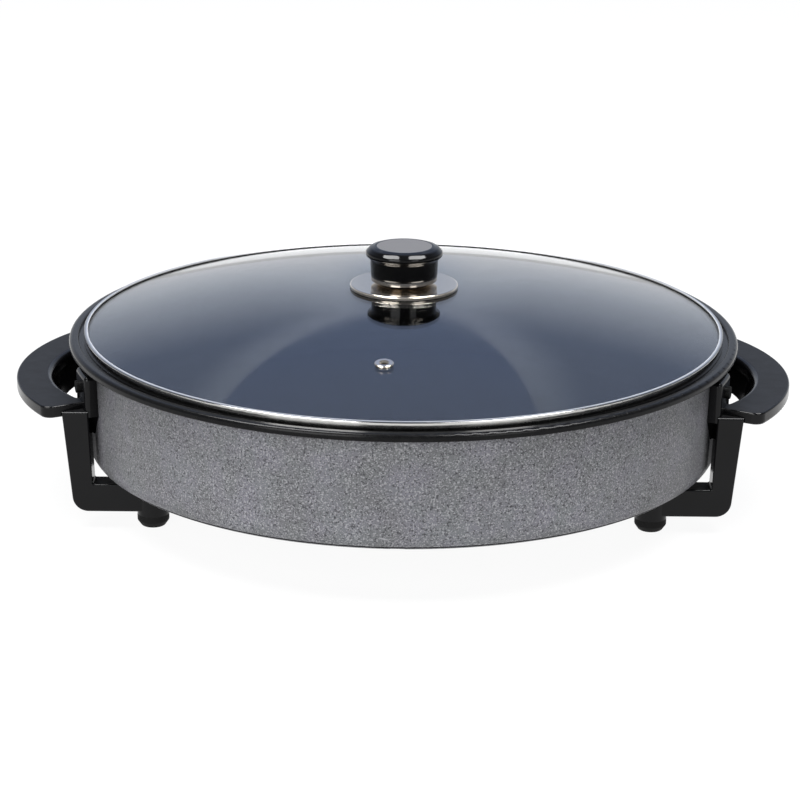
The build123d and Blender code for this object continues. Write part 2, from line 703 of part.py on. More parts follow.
# Glass: dome with a flat land in the band, a hole for the screw and one for the vent
glass_thick = land_top - land_under
dome_edge = grip_inner - LAND_MARGIN
dome_radius = (dome_edge ** 2 + GLASS_RISE ** 2) / (2 * GLASS_RISE)
apex_under = land_under + GLASS_RISE
apex_top = apex_under + glass_thick
glass_hole = GROMMET_COLLAR_RADIUS + SLIDE_FIT


def dome_drop(radius):
    """How far the dome has fallen at a radius from its apex."""
    return dome_radius - sqrt(dome_radius ** 2 - radius ** 2)


vent_lean = asin(VENT_RADIUS / dome_radius)
vent_top = Plane(
    origin=(*round_spot(VENT_RADIUS, VENT_TURN), apex_top - dome_drop(VENT_RADIUS)),
    z_dir=(*round_spot(sin(vent_lean), VENT_TURN), cos(vent_lean)),
)
mid_run = dome_edge / 2
with BuildPart() as lid_glass:
    with BuildSketch(Plane.XZ):
        with BuildLine():
            ThreePointArc(
                (glass_hole, apex_under - dome_drop(glass_hole)),
                (mid_run, apex_under - dome_drop(mid_run)),
                (dome_edge, land_under),
            )
            Polyline(
                (dome_edge, land_under),
                (glass_radius, land_under),
                (glass_radius, land_top),
                (dome_edge, land_top),
            )
            ThreePointArc(
                (dome_edge, land_top),
                (mid_run, apex_top - dome_drop(mid_run)),
                (glass_hole, apex_top - dome_drop(glass_hole)),
            )
            Line(
                (glass_hole, apex_top - dome_drop(glass_hole)),
                (glass_hole, apex_under - dome_drop(glass_hole)),
            )
        make_face()
    revolve(axis=Axis.Z)
    with BuildSketch(vent_top):
        Circle(VENT_TUBE_RADIUS + SLIDE_FIT)
    extrude(amount=OVERRUN, both=True, mode=Mode.SUBTRACT)
keep(lid_glass, "lid_glass")

# Vent eyelet: tube through the glass, flanged above and turned over below
with BuildPart() as vent_eyelet:
    with BuildSketch(vent_top):
        Circle(VENT_FLANGE_RADIUS)
    extrude(amount=VENT_FLANGE_THICK)
    fillet(faces().sort_by(Axis.Z)[-1].edges(), radius=VENT_FLANGE_ROUND)
    with BuildSketch(vent_top):
        Circle(VENT_TUBE_RADIUS)
    extrude(amount=-(glass_thick + SLIDE_FIT))
    with BuildSketch(vent_top.offset(-(glass_thick + SLIDE_FIT))):
        Circle(VENT_TURNED_RADIUS)
    extrude(amount=-VENT_FLANGE_THICK)
    with BuildSketch(vent_top):
        Circle(VENT_HOLE_RADIUS)
    extrude(amount=glass_thick + OVERRUN, both=True, mode=Mode.SUBTRACT)
    chamfer(faces().sort_by(Axis.Z)[-1].edges().sort_by(SortBy.RADIUS)[0], length=VENT_SINK)
keep(vent_eyelet, "vent_eyelet")

# Gasket between glass and knob plate
screw_hole = SCREW_RADIUS + SLIDE_FIT
with BuildPart() as knob_gasket:
    with BuildSketch(Plane.XY.offset(apex_top)):
        Circle(GASKET_RADIUS)
        Circle(screw_hole, mode=Mode.SUBTRACT)
    extrude(amount=GASKET_THICK)
keep(knob_gasket, "knob_gasket")

# Knob plate: flat disc with a turned-down edge just clear of the glass
plate_under = apex_top + GASKET_THICK
plate_top = plate_under + PLATE_SHEET
plate_edge_under = apex_top - dome_drop(PLATE_RADIUS) + FIT
with BuildPart() as knob_plate:
    with BuildSketch(Plane.XZ):
        with BuildLine():
            FilletPolyline(
                (screw_hole, plate_under),
                (PLATE_RADIUS - PLATE_SHEET, plate_under),
                (PLATE_RADIUS - PLATE_SHEET, plate_edge_under),
                (PLATE_RADIUS, plate_edge_under),
                (PLATE_RADIUS, plate_top),
                (screw_hole, plate_top),
                radius=[0, 0, 0, 0, PLATE_ROUND, 0],
                close=True,
            )
        make_face()
    revolve(axis=Axis.Z)
keep(knob_plate, "knob_plate")

# Ferrule: bright cup that flares up to the knob and holds its spigot
ferrule_top = plate_top + FERRULE_HEIGHT
pocket_radius = FERRULE_BASE_RADIUS - FERRULE_SHEET
with BuildPart() as knob_ferrule:
    with BuildSketch(Plane.XZ):
        with BuildLine():
            Polyline(
                (screw_hole, plate_top),
                (FERRULE_BASE_RADIUS, plate_top),
                (FERRULE_RADIUS, plate_top + FERRULE_CONE_HEIGHT),
                (FERRULE_RADIUS, ferrule_top),
                (pocket_radius, ferrule_top),
                (pocket_radius, plate_top + FERRULE_SHEET),
                (screw_hole, plate_top + FERRULE_SHEET),
                close=True,
            )
        make_face()
    revolve(axis=Axis.Z)
keep(knob_ferrule, "knob_ferrule")

# Knob: turned body with a flanged top, a spigot below and a seat for the inlay
spigot_under = ferrule_top - KNOB_SPIGOT_HEIGHT
knob_spigot_radius = pocket_radius - SLIDE_FIT
knob_top = ferrule_top + KNOB_HEIGHT
flange_under = ferrule_top + KNOB_BODY_HEIGHT
insert_top = spigot_under + INSERT_LENGTH
with BuildPart() as knob:
    with BuildSketch(Plane.XZ):
        with BuildLine():
            FilletPolyline(
                (INSERT_RADIUS, spigot_under),
                (knob_spigot_radius, spigot_under),
                (knob_spigot_radius, ferrule_top),
                (KNOB_BASE_RADIUS, ferrule_top),
                (KNOB_WAIST_RADIUS, ferrule_top + KNOB_BEVEL_HEIGHT),
                (KNOB_BODY_RADIUS, flange_under),
                (KNOB_FLANGE_RADIUS, flange_under + KNOB_FLANGE_RISE),
                (KNOB_FLANGE_RADIUS, knob_top - KNOB_SHOULDER_DROP),
                (KNOB_BROW_RADIUS, knob_top - KNOB_BROW_DROP),
                (KNOB_SHOULDER_RADIUS, knob_top),
                (INLAY_RADIUS + SLIDE_FIT, knob_top),
                (INLAY_RADIUS + SLIDE_FIT, knob_top - INLAY_THICK),
                (0, knob_top - INLAY_THICK),
                (0, insert_top),
                (INSERT_RADIUS, insert_top),
                radius=[
                    0, 0, 0, 0, 0, KNOB_NECK_ROUND, KNOB_FLANGE_ROUND,
                    KNOB_FLANGE_ROUND, KNOB_BROW_ROUND, 0, 0, 0, 0, 0, 0,
                ],
                close=True,
            )
        make_face()
    revolve(axis=Axis.Z)
keep(knob, "knob")

# Inlay in the top of the knob
with BuildPart() as knob_inlay:
    with BuildSketch(Plane.XY.offset(knob_top - INLAY_THICK)):
        Circle(INLAY_RADIUS)
    extrude(amount=INLAY_THICK)
keep(knob_inlay, "knob_inlay")

# Threaded insert in the knob
with BuildPart() as knob_insert:
    with BuildSketch(Plane.XY.offset(spigot_under)):
        Circle(INSERT_RADIUS)
        Circle(screw_hole, mode=Mode.SUBTRACT)
    extrude(amount=INSERT_LENGTH)
keep(knob_insert, "knob_insert")

# Grommet under the glass, its collar in the hole
grommet_top = apex_under - dome_drop(UNDER_GASKET_RADIUS) - SLIDE_FIT / 2
grommet_under = grommet_top - GASKET_THICK
with BuildPart() as under_gasket:
    with BuildSketch(Plane.XZ):
        with BuildLine():
            Polyline(
                (screw_hole, grommet_under),
                (UNDER_GASKET_RADIUS, grommet_under),
                (UNDER_GASKET_RADIUS, grommet_top),
                (GROMMET_COLLAR_RADIUS, grommet_top),
                (GROMMET_COLLAR_RADIUS, apex_top),
                (screw_hole, apex_top),
                close=True,
            )
        make_face()
    revolve(axis=Axis.Z)
keep(under_gasket, "under_gasket")

# Washer under the grommet
washer_under = grommet_under - UNDER_WASHER_THICK
with BuildPart() as under_washer:
    with BuildSketch(Plane.XY.offset(washer_under)):
        Circle(UNDER_WASHER_RADIUS)
        Circle(screw_hole, mode=Mode.SUBTRACT)
    extrude(amount=UNDER_WASHER_THICK)
keep(under_washer, "under_washer")

# Screw up through the stack into the insert
with BuildPart() as knob_screw:
    with BuildSketch(down_plane(0, 0, washer_under)):
        Circle(SCREW_HEAD_RADIUS)
    extrude(amount=SCREW_HEAD_HEIGHT)
    with BuildSketch(Plane.XY.offset(washer_under)):
        Circle(SCREW_RADIUS)
    extrude(amount=spigot_under - washer_under + SCREW_BITE)
    with BuildSketch(Plane.XY.offset(washer_under - SCREW_HEAD_HEIGHT)):
        Rectangle(2 * SCREW_HEAD_RADIUS + OVERRUN, SCREW_SLOT_WIDTH)
    extrude(amount=SCREW_SLOT_DEPTH, mode=Mode.SUBTRACT)
keep(knob_screw, "knob_screw")
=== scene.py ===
"""Looks of the electric party pan: finishes, studio light and the photograph's camera.

Metres, Z up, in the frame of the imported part: the pan stands on the floor, its axis on the origin.
"""
import json
from math import radians

import bpy
from mathutils import Euler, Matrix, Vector

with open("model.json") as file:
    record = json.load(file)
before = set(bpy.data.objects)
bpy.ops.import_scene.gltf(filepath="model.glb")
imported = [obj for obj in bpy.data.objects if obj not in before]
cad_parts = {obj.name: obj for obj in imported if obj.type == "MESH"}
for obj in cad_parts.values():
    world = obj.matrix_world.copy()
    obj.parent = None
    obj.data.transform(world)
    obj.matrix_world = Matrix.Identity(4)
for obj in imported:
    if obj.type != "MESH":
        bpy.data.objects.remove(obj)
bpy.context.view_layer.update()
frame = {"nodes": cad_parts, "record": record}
nodes = frame["nodes"]

# Camera of the photograph
CAMERA_PLACE = (-0.0019, -1.6380, 0.5918)
CAMERA_TARGET = (-0.0019, 0.0, 0.0605)
CAMERA_ROLL = 0.54
LENS = 117.0
SENSOR = 36.0

# Pan's wall and floor: radii, heights and the lengths over which one finish gives way to another
WALL_FOOT = 0.2070
WALL_TAPER = 0.0020
WALL_HALF = 0.00175
FLOOR_UNDER = 0.0325
FLOOR_MIDDLE = 0.0345
LEDGE_UNDER = 0.1058
UNDER_EDGE = 0.1975
UNDER_FADE = 0.002

# Pan's rim and its rounding
RIM_BOTTOM = 0.1050
RIM_FADE = 0.0002
RIM_ROUND_RADIUS = 0.2154
RIM_ROUND_HEIGHT = 0.1074

# Wall's ends, with painted shade: darker towards the handles, dark right beside them, wider at the top
PAINTED_END_SHADE = 0.11
PAINTED_END_SHADE_FADE = 0.07
PAINTED_END_SHADE_SHARE = 0.34
# Painted shade and dark reflection of the handles on the wall right beside them
PAINTED_SHADE_BESIDE_HANDLE = 0.2000
PAINTED_SHADE_BESIDE_FADE = 0.011
PAINTED_SHADE_BESIDE_SHARE = 0.92
PAINTED_SHADE_BESIDE_SLANT = 0.18

# Lid's band, its lip and the neck under the knob, where reflections and shade are painted
BAND_INNER = 0.19
BAND_EDGE = 0.2061
BAND_EDGE_FADE = 0.0003
BAND_FACE = 0.2078
BAND_TOP = 0.1137
BAND_BACK = 0.155
BAND_BACK_FADE = 0.035
NECK_BOTTOM = 0.1412

# Sizes of the grain, as noise scales per metre
SPECK_SCALE = 650.0
FLAKE_SCALE = 960.0
FLAKE_STRETCH = (1.0, 1.0, 1.12)
CLOUD_SCALE = 34.0
TINT_SCALE = 70.0
RIM_GRAIN_SCALE = 420.0
TURNING_SCALE = 260.0

# Studio floor: half its side, its glow, and where the glow fades behind the pan
FLOOR_HALF = 14.0
FLOOR_GLOW = 0.93
FLOOR_FAR_GLOW = 0.62
FLOOR_FADE_START = 2.3
FLOOR_FADE_END = 3.4

# Wedge in the sky behind the pan, by the turn from straight behind and the height of a direction
WEDGE_TURN = 0.046
WEDGE_LEAST_TURN = 0.030
WEDGE_HEIGHT = 0.413
WEDGE_SLOPE = 0.756
WEDGE_LEAN = 0.162
SKY_LOWEST = -0.2

# Sky colours by the height of the direction
WEDGE_SKY = [
    (SKY_LOWEST, (0.74, 0.74, 0.76)),
    (0.02, (0.62, 0.66, 0.74)),
    (0.14, (0.46, 0.54, 0.68)),
    (0.31, (0.24, 0.31, 0.46)),
    (0.55, (0.36, 0.45, 0.69)),
    (0.70, (0.50, 0.60, 0.86)),
    (1.0, (0.40, 0.42, 0.46)),
]
SIDE_SKY = [
    (SKY_LOWEST, (0.76, 0.76, 0.78)),
    (0.02, (0.76, 0.78, 0.83)),
    (0.14, (0.71, 0.76, 0.84)),
    (0.31, (0.55, 0.61, 0.74)),
    (0.45, (0.34, 0.41, 0.58)),
    (0.58, (0.42, 0.50, 0.70)),
    (0.70, (0.50, 0.60, 0.84)),
    (1.0, (0.40, 0.42, 0.46)),
]
FRINGE_SKY = [
    (SKY_LOWEST, (0.76, 0.76, 0.78)),
    (0.05, (0.76, 0.78, 0.83)),
    (0.20, (0.74, 0.80, 0.90)),
    (0.45, (0.56, 0.64, 0.84)),
    (0.62, (0.66, 0.76, 0.98)),
    (1.0, (0.40, 0.42, 0.46)),
]
FRONT_SKY = [
    (SKY_LOWEST, (0.80, 0.80, 0.82)),
    (0.02, (0.58, 0.59, 0.61)),
    (0.22, (0.34, 0.35, 0.37)),
    (0.42, (0.22, 0.23, 0.25)),
    (1.0, (0.22, 0.23, 0.25)),
]

# Soft boxes: name, place, target, width, height and power
SOFT_BOXES = [
    ("ceiling_left", (-1.02, -0.20, 2.25), (-1.02, -0.20, 0.0), 1.3, 1.0, 92.0),
    ("ceiling_right", (0.98, -0.20, 2.25), (0.98, -0.20, 0.0), 1.3, 1.0, 92.0),
    ("front_left", (-1.35, -2.35, 1.1), (0.0, 0.0, 0.1), 1.6, 2.0, 54.0),
    ("front_right", (1.45, -2.25, 1.0), (0.0, 0.0, 0.1), 1.0, 1.5, 16.0),
]


class Nodes:
    """A node tree, built up node by node."""

    def __init__(self, tree):
        self.tree = tree

    def add(self, kind, **settings):
        node = self.tree.nodes.new(kind)
        for name, value in settings.items():
            setattr(node, name, value)
        return node

    def feed(self, socket, value):
        """Links a socket, or sets it to a constant."""
        if isinstance(value, bpy.types.NodeSocket):
            self.tree.links.new(value, socket)
        else:
            socket.default_value = value

    def split(self, vector):
        """The three parts of a vector."""
        node = self.add("ShaderNodeSeparateXYZ")
        self.feed(node.inputs["Vector"], vector)
        return node.outputs["X"], node.outputs["Y"], node.outputs["Z"]

    def sum(self, operation, first, second=0.0):
        node = self.add("ShaderNodeMath", operation=operation)
        self.feed(node.inputs[0], first)
        self.feed(node.inputs[1], second)
        return node.outputs["Value"]

    def remap(self, value, low, high, to_low=0.0, to_high=1.0, kind="LINEAR"):
        node = self.add("ShaderNodeMapRange", interpolation_type=kind)
        self.feed(node.inputs["Value"], value)
        for name, number in (("From Min", low), ("From Max", high), ("To Min", to_low), ("To Max", to_high)):
            self.feed(node.inputs[name], number)
        return node.outputs["Result"]

    def step(self, value, low, width):
        """Smooth step from a low edge over a width."""
        return self.remap(value, low, low + width, kind="SMOOTHSTEP")

    def mix(self, share, first, second):
        node = self.add("ShaderNodeMix", data_type="RGBA")
        self.feed(node.inputs["Factor"], share)
        for name, colour in (("A", first), ("B", second)):
            socket = [found for found in node.inputs if found.name == name and found.type == "RGBA"][0]
            self.feed(socket, colour)
        return [found for found in node.outputs if found.type == "RGBA"][0]


class Finish(Nodes):
    """A procedural material in the part's own coordinates."""

    SOCKETS = {
        "colour": "Base Color",
        "rough": "Roughness",
        "metal": "Metallic",
        "ior": "IOR",
        "clear": "Transmission Weight",
        "specular": "Specular IOR Level",
        "glow": "Emission Color",
        "glow_strength": "Emission Strength",
    }

    def __init__(self, name):
        self.material = bpy.data.materials.new(name)
        self.material.use_nodes = True
        super().__init__(self.material.node_tree)
        self.shader = self.tree.nodes["Principled BSDF"]
        self.place = self.add("ShaderNodeTexCoord").outputs["Object"]

    def noise(self, scale, detail=2.0, roughness=0.5, stretch=None):
        node = self.add("ShaderNodeTexNoise")
        place = self.place
        if stretch:
            mapping = self.add("ShaderNodeMapping")
            mapping.inputs["Scale"].default_value = stretch
            self.feed(mapping.inputs["Vector"], place)
            place = mapping.outputs["Vector"]
        self.feed(node.inputs["Vector"], place)
        node.inputs["Scale"].default_value = scale
        node.inputs["Detail"].default_value = detail
        node.inputs["Roughness"].default_value = roughness
        return node.outputs["Fac"]

    def rings(self, scale, distortion):
        """Turning marks round the axis."""
        node = self.add("ShaderNodeTexWave", wave_type="RINGS", rings_direction="Z")
        self.feed(node.inputs["Vector"], self.place)
        node.inputs["Scale"].default_value = scale
        node.inputs["Distortion"].default_value = distortion
        return node.outputs["Fac"]

    def spread(self, noise, low, high):
        """A value that swings from low to high with a noise."""
        return self.remap(noise, 0.3, 0.7, low, high)

    def patches(self, noise, first, second):
        """Two colours in soft patches of a noise."""
        return self.mix(self.remap(noise, 0.35, 0.7), first, second)

    def axes(self):
        return self.split(self.place)

    def normal(self):
        return self.add("ShaderNodeNewGeometry").outputs["Normal"]

    def radius(self):
        """Distance from the pan's axis."""
        x, y, _ = self.axes()
        squares = self.sum("ADD", self.sum("MULTIPLY", x, x), self.sum("MULTIPLY", y, y))
        return self.sum("SQRT", squares)

    def both(self, first, second):
        """Where two masks meet."""
        return self.sum("MULTIPLY", first, second)

    def blend(self, share, first, second):
        node = self.add("ShaderNodeMix", data_type="FLOAT")
        self.feed(node.inputs[0], share)
        self.feed(node.inputs[2], first)
        self.feed(node.inputs[3], second)
        return node.outputs[0]

    def blend_vectors(self, share, first, second):
        node = self.add("ShaderNodeMix", data_type="VECTOR")
        self.feed(node.inputs[0], share)
        self.feed(node.inputs[4], first)
        self.feed(node.inputs[5], second)
        return node.outputs[1]

    def join(self, *parts):
        """A vector from its three parts."""
        node = self.add("ShaderNodeCombineXYZ")
        for socket, part in zip(node.inputs, parts):
            self.feed(socket, part)
        return node.outputs["Vector"]

    def vector(self, operation, *vectors):
        node = self.add("ShaderNodeVectorMath", operation=operation)
        for socket, vector in zip(node.inputs, vectors):
            self.feed(socket, vector)
        return node.outputs["Vector"]

    def bump(self, height, depth, strength, normal=None):
        """Bump of a depth in metres, on the surface's own normal or a given one."""
        node = self.add("ShaderNodeBump")
        if normal:
            self.feed(node.inputs["Normal"], normal)
        node.inputs["Strength"].default_value = strength
        node.inputs["Distance"].default_value = depth
        self.feed(node.inputs["Height"], height)
        self.feed(self.shader.inputs["Normal"], node.outputs["Normal"])

    def set(self, **values):
        for name, value in values.items():
            self.feed(self.shader.inputs[self.SOCKETS[name]], value)


def grey(value, red=1.0, green=1.0, blue=1.0):
    """Colour from one value and a lean of its three channels."""
    return (value * red, value * green, value * blue, 1.0)


def wall_stone(finish, fine, aside, painted_shade_beside):
    """Speckled stone of the pan's wall, darkened near the handles by painted shade and reflection."""
    flake = finish.noise(FLAKE_SCALE, 1.0, stretch=FLAKE_STRETCH)
    cloud = finish.remap(finish.noise(CLOUD_SCALE), 0.35, 0.65, 0.0, 0.55)
    tint = finish.remap(finish.noise(TINT_SCALE, 1.0), 0.35, 0.65)
    stone = finish.mix(tint, grey(0.146, 1.0, 0.985, 1.12), grey(0.139, 0.98, 1.02, 1.08))
    stone = finish.mix(cloud, stone, grey(0.105))
    stone = finish.mix(finish.remap(fine, 0.47, 0.36, 0.0, 0.95), stone, grey(0.045, 1.0, 1.0, 1.1))
    stone = finish.mix(finish.remap(flake, 0.53, 0.66, 0.0, 0.68), stone, grey(0.32, 1.0, 1.0, 1.04))
    # Painted shade: the stone darkens towards the wall's ends by the handles
    shade = finish.remap(aside, PAINTED_END_SHADE, PAINTED_END_SHADE + PAINTED_END_SHADE_FADE, 0.0, PAINTED_END_SHADE_SHARE)
    stone = finish.mix(shade, stone, grey(0.05))
    # Painted shade and dark reflection of the handles: near black right beside them
    return finish.mix(painted_shade_beside, stone, grey(0.010, 1.0, 1.0, 1.1))


def pan_normal(finish, x, y, height, radius, end):
    """Normal of the pan: exact on the rim's rounding, and turned to front or back at the wall's dark ends."""
    past = finish.sum("SUBTRACT", radius, RIM_ROUND_RADIUS)
    above = finish.sum("SUBTRACT", height, RIM_ROUND_HEIGHT)
    corner = finish.both(finish.sum("GREATER_THAN", past), finish.sum("GREATER_THAN", above))
    outward = finish.sum("DIVIDE", past, radius)
    rounded = finish.join(finish.sum("MULTIPLY", x, outward), finish.sum("MULTIPLY", y, outward), above)
    normal = finish.blend_vectors(corner, finish.normal(), finish.vector("NORMALIZE", rounded))
    swing = finish.join(0.0, finish.sum("MULTIPLY", end, finish.sum("SIGN", y)), 0.0)
    return finish.vector("NORMALIZE", finish.vector("ADD", normal, swing))


def coating():
    """Pan: speckled stone-look wall, black rim, dark cooking surface and plain metal underside."""
    finish = Finish("pan_coating")
    x, y, height = finish.axes()
    radius = finish.radius()

    share = finish.remap(height, FLOOR_UNDER, LEDGE_UNDER)
    middle = finish.sum("ADD", finish.sum("MULTIPLY", share, WALL_TAPER), WALL_FOOT - WALL_HALF)
    under = finish.sum("LESS_THAN", height, FLOOR_MIDDLE)
    outside = finish.sum("MAXIMUM", finish.sum("GREATER_THAN", radius, middle), under)
    bare = finish.both(under, finish.remap(radius, UNDER_EDGE, UNDER_EDGE - UNDER_FADE))
    rim = finish.remap(height, RIM_BOTTOM - RIM_FADE, RIM_BOTTOM)
    # Distance aside and its slant with height: masks of the painted shade at the wall's ends
    aside = finish.sum("ABSOLUTE", x)
    slant = finish.sum("ADD", aside, finish.sum("MULTIPLY", height, PAINTED_SHADE_BESIDE_SLANT))
    painted_shade_beside = finish.remap(slant, PAINTED_SHADE_BESIDE_HANDLE, PAINTED_SHADE_BESIDE_HANDLE + PAINTED_SHADE_BESIDE_FADE, 0.0, PAINTED_SHADE_BESIDE_SHARE)

    fine = finish.noise(SPECK_SCALE, 2.5, 0.62)
    fleck = finish.remap(finish.noise(900.0, 1.0), 0.63, 0.70, 0.0, 0.4)
    inside = finish.mix(fleck, grey(0.004, 0.95, 1.0, 1.15), grey(0.022))
    marks = finish.remap(finish.rings(TURNING_SCALE, 0.4), 0.0, 1.0, 0.0, 0.35)
    turned = finish.mix(marks, grey(0.42), grey(0.30))
    rim_grain = finish.remap(finish.noise(RIM_GRAIN_SCALE), 0.4, 0.7)
    black = finish.mix(rim_grain, grey(0.003, 1.0, 1.0, 1.12), grey(0.005))
    colour = finish.mix(outside, inside, wall_stone(finish, fine, aside, painted_shade_beside))
    colour = finish.mix(bare, colour, turned)
    colour = finish.mix(rim, colour, black)

    rough = finish.blend(outside, 0.85, finish.spread(fine, 0.32, 0.44))
    rough = finish.blend(rim, rough, finish.spread(finish.noise(300.0), 0.17, 0.21))
    finish.set(colour=colour, rough=rough, metal=finish.sum("MULTIPLY", bare, 0.9), specular=0.12)

    wall = finish.both(outside, finish.sum("LESS_THAN", height, RIM_BOTTOM))
    normal = pan_normal(finish, x, y, height, radius, finish.both(painted_shade_beside, wall))
    finish.bump(finish.blend(rim, fine, finish.noise(90.0)), 0.00002, 0.4, normal)
    return finish.material


def moulding():
    """Handles: black plastic with a fine grain, more matt on the flat tops than on edges and sides."""
    finish = Finish("handle_plastic")
    grain = finish.noise(1400.0, 2.0, 0.6)
    wear = finish.noise(40.0, 3.0, 0.6)
    haze = finish.noise(90.0, 3.0, 0.6)
    colour = finish.patches(wear, grey(0.0020, 1.0, 1.0, 1.15), grey(0.0028, 1.0, 1.0, 1.15))
    level = finish.remap(finish.split(finish.normal())[2], 0.95, 0.99)
    rough = finish.blend(level, finish.spread(haze, 0.15, 0.20), finish.spread(haze, 0.48, 0.54))
    finish.set(colour=colour, rough=rough, specular=0.20)
    finish.bump(grain, 0.00001, 0.3)
    return finish.material


def rubber(name, value):
    """Feet, seals and gaskets: matt and slightly dusty."""
    finish = Finish(name)
    dust = finish.noise(160.0, 4.0, 0.65)
    dusty = finish.remap(dust, 0.45, 0.75, 0.0, 0.5)
    colour = finish.mix(dusty, grey(value), grey(value * 2.6, 1.0, 0.98, 0.95))
    finish.set(colour=colour, rough=finish.spread(dust, 0.62, 0.82), specular=0.15)
    finish.bump(finish.noise(1800.0), 0.00008, 0.5)
    return finish.material


def glass():
    """Lid: clear toughened glass with a faint grey tint and hardly visible smears."""
    finish = Finish("lid_glass")
    smear = finish.noise(34.0, 4.0, 0.6, stretch=(1.0, 2.2, 1.0))
    smeared = finish.spread(smear, 0.0, 1.0)
    colour = finish.mix(smeared, grey(0.80, 0.95, 0.99, 1.04), grey(0.84, 0.95, 0.99, 1.04))
    finish.set(colour=colour, rough=finish.remap(smear, 0.55, 0.85, 0.0, 0.035), clear=1.0, ior=1.5)
    return finish.material


def chrome():
    """Polished steel with wiping marks: warm on the knob's disc, painted dark reflection at its neck, neutral
    band with painted reflections.
    """
    finish = Finish("bright_steel")
    marks = finish.noise(900.0, 3.0, 0.7, stretch=(1.0, 1.0, 4.0))
    haze = finish.noise(120.0, 3.0, 0.6)
    radius = finish.radius()
    _, y, height = finish.axes()

    band = finish.sum("GREATER_THAN", radius, BAND_INNER)
    lip = finish.both(band, finish.sum("LESS_THAN", radius, BAND_FACE))
    top = finish.both(band, finish.sum("GREATER_THAN", height, BAND_TOP))
    edge = finish.both(band, finish.sum("LESS_THAN", radius, BAND_EDGE))
    # Masks of the painted reflection at the band's back
    behind = finish.remap(y, BAND_BACK, BAND_BACK + BAND_BACK_FADE)
    back = finish.both(finish.sum("MAXIMUM", lip, top), behind)
    neck = finish.sum("GREATER_THAN", height, NECK_BOTTOM)

    colour = finish.patches(haze, grey(0.64, 1.10, 1.0, 0.87), grey(0.60, 1.10, 1.0, 0.87))
    # Painted dark reflection on the neck under the knob
    colour = finish.mix(neck, colour, grey(0.33, 1.05, 1.0, 0.95))
    # Painted dark reflection of the black rim on the band's outer face
    shade = finish.mix(finish.remap(radius, BAND_EDGE + BAND_EDGE_FADE, BAND_FACE), grey(0.80), grey(0.25))
    ring = finish.mix(top, grey(0.60, 1.0, 0.99, 0.96), shade)
    # Painted highlight: the band's inner edge is plain light grey, not metal
    ring = finish.mix(edge, ring, grey(0.40))
    # Painted reflection: the back of the band is plain pale grey, not metal
    ring = finish.mix(back, ring, grey(0.85))
    colour = finish.mix(band, colour, ring)

    rough = finish.blend(lip, finish.spread(haze, 0.10, 0.15), finish.spread(haze, 0.30, 0.38))
    metal = finish.sum("SUBTRACT", 1.0, finish.sum("MAXIMUM", edge, back))
    finish.set(colour=colour, rough=rough, metal=metal)
    finish.bump(marks, 0.000003, 0.4)
    return finish.material


def knob_gloss():
    """Knob: gloss black plastic with faint orange peel."""
    finish = Finish("knob_plastic")
    peel = finish.noise(420.0)
    colour = finish.patches(finish.noise(90.0, 3.0), grey(0.0012, 1.0, 1.0, 1.2), grey(0.002))
    finish.set(colour=colour, rough=finish.spread(peel, 0.06, 0.10), specular=0.20)
    finish.bump(peel, 0.00001, 0.4)
    return finish.material


def inlay_satin():
    """Inlay: satin grey with fine concentric turning marks."""
    finish = Finish("inlay")
    grain = finish.noise(1500.0)
    grained = finish.spread(grain, 0.0, 1.0)
    colour = finish.mix(grained, grey(0.092, 1.03, 1.0, 1.0), grey(0.112, 1.03, 1.0, 1.0))
    finish.set(colour=colour, rough=finish.spread(grain, 0.38, 0.50), metal=0.35, specular=0.4)
    finish.bump(finish.rings(900.0, 1.5), 0.00001, 0.4)
    return finish.material


def steel(name, value, rough_low, rough_high, red=1.0, blue=1.0, scale=700.0):
    """Plain metal parts: plated screws, brass insert, element sheath and cover."""
    finish = Finish(name)
    grain = finish.noise(scale, 3.0, 0.65)
    stain = finish.remap(finish.noise(45.0, 3.0, 0.6), 0.4, 0.75)
    colour = finish.mix(stain, grey(value, red, 1.0, blue), grey(value * 0.72, red, 1.0, blue))
    finish.set(colour=colour, rough=finish.spread(grain, rough_low, rough_high), metal=1.0)
    finish.bump(grain, 0.00002, 0.5)
    return finish.material


def painted(name, value, rough_low, rough_high, blue=1.0, specular=0.4):
    """Painted sheet and ceramic: slightly uneven, not metallic."""
    finish = Finish(name)
    grain = finish.noise(850.0, 3.0, 0.6)
    cloud = finish.noise(60.0, 3.0)
    colour = finish.patches(cloud, grey(value, 1.0, 1.0, blue), grey(value * 0.8, 1.0, 1.0, blue))
    finish.set(colour=colour, rough=finish.spread(grain, rough_low, rough_high), specular=specular)
    finish.bump(grain, 0.00005, 0.5)
    return finish.material


# One finish for each material slot of the record
finishes = {
    "pan_coating": coating(),
    "handle_plastic": moulding(),
    "foot_rubber": rubber("foot_rubber", 0.004),
    "lid_glass": glass(),
    "bright_steel": chrome(),
    "seal": rubber("seal", 0.03),
    "knob_plastic": knob_gloss(),
    "inlay": inlay_satin(),
    "screw_black": painted("screw_black", 0.0025, 0.40, 0.55, specular=0.12),
    "screw_steel": steel("screw_steel", 0.55, 0.26, 0.42),
    "insert_brass": steel("insert_brass", 0.60, 0.25, 0.40, red=1.3, blue=0.45),
    "element_steel": steel("element_steel", 0.28, 0.42, 0.60, red=1.06, blue=0.92),
    "cover_steel": steel("cover_steel", 0.52, 0.30, 0.45, scale=420.0),
    "shroud_steel": painted("shroud_steel", 0.016, 0.45, 0.62),
    "ceramic": painted("ceramic", 0.70, 0.40, 0.60, blue=0.92),
}
for row in frame["record"]["subparts"]:
    node = nodes[row["node"]]
    node.data.materials.clear()
    node.data.materials.append(finishes[row["material_slot"]])

